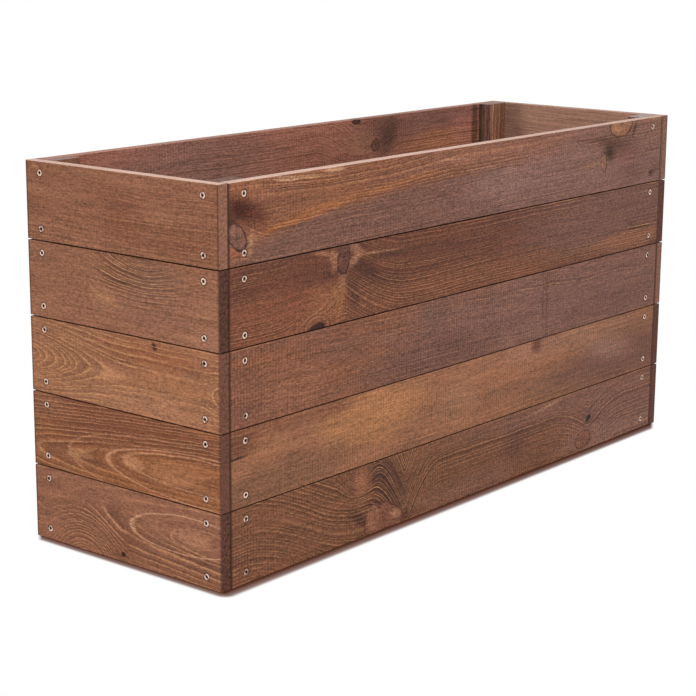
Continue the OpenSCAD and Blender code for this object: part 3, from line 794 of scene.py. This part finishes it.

# Corner posts: four planed battens, as high as the walls, that stand in the inside corners. All
# the wall screws bite into them. Their tops show the growth rings, and the pale grey tops of the
# front right and back right posts are a painted highlight.
post_ease = 0.0015
post_look = {"warm": "#93644e", "cool": "#7d5240", "heart": (40, 60, 0.0, 0.0), "pitch": 8.0,
             "dark": 0.5, "pale": 0.6, "wander": 3, "flecks": 0.2, "ribs": 0.0, "plain": 1.0}
post_looks = {}
post_looks["front_left"] = {
    "end": "#5e3f33", "end_pale": "#7a5648"}
# Pale grey end grain: a painted highlight for the light on the post's top
post_looks["front_right"] = {
    "end": "#a2928e", "end_pale": "#bcadab"}
post_looks["back_left"] = {
    "end": "#84685f", "end_pale": "#98796e"}
# Its pale grey end grain is a painted highlight for the light on its top
post_looks["back_right"] = {
    "warm": "#4d3c2d", "cool": "#49382b", "end": "#8b716a", "end_pale": "#a2857e", "skin": 12,
    "shades": [
        (240, 22, 1e4, 60, 0, 0.2, "#875a46", 0.97), (240, 45, 1e4, 2.2, 0, 0.3, "#74504a", 0.9),
        (240, 40, 1e4, 3.5, 0, 0.5, "#74504a", 0.8), (240, 34.5, 1e4, 1.2, 0, 0.5, "#c3906f", 0.85),
        (240, 27, 1e4, 2.4, 0, 0.5, "#ae7b5e", 0.75), (240, 17, 1e4, 1.5, 0, 0.5, "#a87459", 0.6),
        (240, 11, 1e4, 2, 0, 0.5, "#6b4032", 0.7), (240, 0, 1e4, 1.6, 0, 0.3, "#2f1a14", 0.85)]}

for i, (corner_name, look) in enumerate(post_looks.items()):
    node = "corner_post_" + corner_name
    low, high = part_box(node)
    piece = planed_timber(node, 2, post_ease, 30)
    stained_pine(piece, node, dict(post_look, **look), (0, math.pi / 2, 0),
                 (0, -low.y * 1000, high.x * 1000), 111 + 7.7 * i)
    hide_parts(node)
    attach(piece, "root")

# Ledgers: two battens screwed to the foot of the long walls, between the posts. They carry the
# floor and have the same stain, though only a view from below or from the top shows them.
ledger_screw_x = (-0.388, -0.194, 0, 0.194, 0.388)
ledger_screw_z = 0.035
ledger_through = 0.03
ledger_look = {"warm": "#7f5743", "cool": "#6e4b3b", "heart": (-25, 70, 0.0, 0.0), "pitch": 3.8,
               "dark": 0.45, "pale": 0.3}
for i, node in enumerate(("front_ledger", "back_ledger")):
    low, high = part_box(node)
    piece = planed_timber(node, 0, post_ease, 50)
    out = Vector((0, 1 if i == 0 else -1, 0))
    face = high.y if i == 0 else low.y
    places = [Vector((x, face, ledger_screw_z)) for x in ledger_screw_x]
    cut_seats(piece, places, out, ledger_through)
    stained_pine(piece, node, ledger_look, (0, 0, 0), (500, -low.y * 1000, -low.z * 1000),
                 140 + 9 * i)
    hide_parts(node)
    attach(piece, "root")

# Floor: ten short slats laid across the ledgers, each held by a screw at both ends, with gaps
# that let the water out. The first and the last are notched round the posts, so their screws
# stand off the middle.
slat_ease = 0.002
notch_fit = 0.001
outer_hold_x = 0.414
for i in range(1, 11):
    node = "floor_slat_%d" % i
    low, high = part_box(node)
    piece = planed_timber(node, 1, slat_ease, 16)
    if i in (1, 10):
        for post in ("front_left", "back_left") if i == 1 else ("front_right", "back_right"):
            post_low, post_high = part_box("corner_post_" + post)
            bpy.ops.object.select_all(action="DESELECT")
            bpy.ops.mesh.primitive_cube_add(
                size=1, location=(post_low + post_high) / 2,
                scale=post_high - post_low + Vector((2, 2, 2)) * notch_fit)
            cut_away(piece, bpy.context.object)
    hold_x = {1: -outer_hold_x, 10: outer_hold_x}.get(i, (low.x + high.x) / 2)
    places = [Vector((hold_x, y, high.z)) for y in end_screw_y]
    cut_seats(piece, places, Vector((0, 0, 1)), seat_through)
    look = {"warm": "#84593f" if i % 3 else "#8f6248", "cool": "#75503f",
            "heart": (47 + 8 * math.sin(2.1 * i), -22 - 3 * (i % 4), 0.0, 0.02 * math.cos(i)),
            "pitch": 3.2 + 0.3 * (i % 4), "dark": 0.45, "pale": 0.35,
            "swells": [(60 + 23 * i, 0, 60, 1e4, 0, 14 if i % 2 else 0)]}
    stained_pine(piece, node, look, (0, 0, -math.pi / 2),
                 (147, high.x * 1000, -low.z * 1000), 160 + 5.3 * i)
    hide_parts(node)
    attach(piece, "root")

# Screws: flat countersunk wood screws of yellow-passivated zinc with a star drive, sunk a hair
# below the face of the wood. The head is a thin rim over a cone, smeared with stain from the
# brush, and its drive is dark with stain and painted shade. One is brushed over whole. The thread
# tapers to the point.
head_radius = 0.004
head_rim = 0.0004
head_sink = 0.0003
core_radius = 0.0013
neck_length = 0.002
thread_radius = 0.002
thread_turns = 9
unthreaded = 0.008
drive_radius = 0.0025
drive_valley = 0.72
drive_deep = 0.0018
side_length = 0.030
end_length = 0.035
stain_smear = "#6a4530"

zinc = bpy.data.materials.new("yellow_passivated_zinc")
zinc.use_nodes = True
tree = zinc.node_tree
surface = tree.nodes["Principled BSDF"]
surface.inputs["Metallic"].default_value = 1.0
where = add(tree, "TexCoord", {}).outputs["Object"]
bloom = add(tree, "TexNoise", {"Vector": where, "Scale": 700.0, "Detail": 3.0})
plating = add(tree, "Mix", {0: bloom, 6: "#ffe8da", 7: "#e0b69f"}, data_type="RGBA")
smear = add(tree, "TexNoise", {"Vector": where, "Scale": 260.0, "Detail": 2.0})
plating = lay(tree, plating, stain_smear, smear, 0.48, 0.6, 0.0, 0.8)
tree.links.new(plating.outputs["Result"], surface.inputs["Base Color"])
rough = add(tree, "MapRange", {"Value": bloom, "To Min": 0.28, "To Max": 0.5})
tree.links.new(rough.outputs["Result"], surface.inputs["Roughness"])

# The recess finish is stain and painted shade in the star drive; the coated one is stain brushed over a
# whole screw
finishes = {}
for finish, dark_stain_and_shade, pale_stain_and_shade in (("stain_and_painted_shade_recess", "#22140e", "#6e4c38"),
                                       ("stain_coated_zinc", "#4c332c", "#76564d")):
    coated = bpy.data.materials.new(finish)
    coated.use_nodes = True
    tree = coated.node_tree
    surface = tree.nodes["Principled BSDF"]
    surface.inputs["Metallic"].default_value = 0.6
    surface.inputs["Roughness"].default_value = 0.7
    where = add(tree, "TexCoord", {}).outputs["Object"]
    stain_and_shade_mix = add(tree, "TexNoise", {"Vector": where, "Scale": 1200.0, "Detail": 2.0})
    stain_and_shade_mix = add(tree, "Mix", {0: stain_and_shade_mix, 6: dark_stain_and_shade, 7: pale_stain_and_shade}, data_type="RGBA")
    tree.links.new(stain_and_shade_mix.outputs["Result"], surface.inputs["Base Color"])
    finishes[finish] = coated


def ring_at(piece, height):
    """Selects the flat faces of a piece in edit mode that lie at this height."""
    bpy.ops.mesh.select_all(action="DESELECT")
    bpy.ops.object.mode_set(mode="OBJECT")
    for face in piece.data.polygons:
        flat = abs(face.normal.z) > 0.99
        face.select = flat and abs(face.center.z - height) < 1e-6
    bpy.ops.object.mode_set(mode="EDIT")


def driven_screw(length):
    """One screw, point down, with the top of its head a little below the origin."""
    bpy.ops.object.select_all(action="DESELECT")
    bpy.ops.mesh.primitive_cylinder_add(vertices=24, radius=head_radius, depth=head_rim,
                                        location=(0, 0, -head_sink - head_rim / 2))
    screw = bpy.context.object
    bpy.ops.object.transform_apply(location=True, rotation=False, scale=False)
    bpy.ops.object.mode_set(mode="EDIT")
    bpy.ops.mesh.select_mode(type="FACE")
    height = -head_sink - head_rim
    radius = head_radius
    ring_at(screw, height)
    rise = (length - unthreaded) / (2 * thread_turns)
    steps = [(head_radius - core_radius, core_radius), (neck_length, core_radius)]
    for turn in range(thread_turns):
        share = 1.0 if turn < thread_turns - 2 else (0.75, 0.45)[turn - thread_turns + 2]
        steps += [(rise, thread_radius * share), (rise, core_radius * share)]
    for drop, new_radius in steps:
        bpy.ops.mesh.extrude_region_move(TRANSFORM_OT_translate={"value": (0, 0, -drop)})
        height -= drop
        share = new_radius / radius
        bpy.ops.transform.resize(value=(share, share, 1), center_override=(0, 0, height))
        radius = new_radius
    bpy.ops.mesh.extrude_region_move(
        TRANSFORM_OT_translate={"value": (0, 0, -head_sink - length - height)})
    bpy.ops.transform.resize(value=(0.05, 0.05, 1), center_override=(0, 0, -head_sink - length))
    ring_at(screw, -head_sink)
    bpy.ops.mesh.inset(thickness=head_radius - drive_radius)
    bpy.ops.object.mode_set(mode="OBJECT")
    star = next(face for face in screw.data.polygons if face.select)
    for i, index in enumerate(star.vertices):
        share = (1.0, (1 + drive_valley) / 2, drive_valley, (1 + drive_valley) / 2)[i % 4]
        screw.data.vertices[index].co.xy *= share
    bpy.ops.object.mode_set(mode="EDIT")
    bpy.ops.mesh.extrude_region_move(TRANSFORM_OT_translate={"value": (0, 0, -drive_deep)})
    bpy.ops.object.mode_set(mode="OBJECT")
    screw.data.materials.append(zinc)
    screw.data.materials.append(finishes["stain_and_painted_shade_recess"])
    for face in screw.data.polygons:
        middle = face.center
        inside = math.hypot(middle.x, middle.y) < 1.02 * drive_radius
        deep = -head_sink - drive_deep - 1e-4 < middle.z < -head_sink - 1e-5
        face.material_index = int(inside and deep)
    return screw


wall_rows = [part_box("front_board_%d" % row) for row in range(1, 6)]
heights = [z for low, high in wall_rows for z in (low.z + screw_inset, high.z - screw_inset)]
front_y = cad_low.y
left_x = cad_low.x
brushed_over = (long_screw_x[1], front_y, heights[8])
screw_sets = {
    "front_wall_screws": (side_length, (0, -1, 0),
                          [(x, front_y, z) for x in long_screw_x for z in heights]),
    "back_wall_screws": (side_length, (0, 1, 0),
                         [(x, -front_y, z) for x in long_screw_x for z in heights]),
    "left_end_screws": (end_length, (-1, 0, 0),
                        [(left_x, y, z) for y in end_screw_y for z in heights]),
    "right_end_screws": (end_length, (1, 0, 0),
                         [(-left_x, y, z) for y in end_screw_y for z in heights])}
for node, (length, out, places) in screw_sets.items():
    screws = [driven_screw(length)]
    for place in places[1:]:
        screw = screws[0].copy()
        screw.data = screws[0].data.copy()
        bpy.context.collection.objects.link(screw)
        screws.append(screw)
    turn = Vector(out).to_track_quat("Z", "Y").to_matrix().to_4x4()
    for i, (screw, place) in enumerate(zip(screws, places)):
        twist = Matrix.Rotation(1.7 * i, 4, "Z")
        screw.data.transform(Matrix.Translation(place) @ turn @ twist)
        if place == brushed_over:
            for slot in screw.material_slots:
                slot.material = finishes["stain_coated_zinc"]
    bpy.ops.object.select_all(action="DESELECT")
    for screw in screws:
        screw.select_set(True)
    bpy.context.view_layer.objects.active = screws[0]
    bpy.ops.object.join()
    screws = bpy.context.object
    screws.name = "driven_" + node
    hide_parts(node)
    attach(screws, "root")
for node in ("ledger_screws", "slat_screws"):
    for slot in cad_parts[node].material_slots:
        slot.material = zinc

low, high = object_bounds()
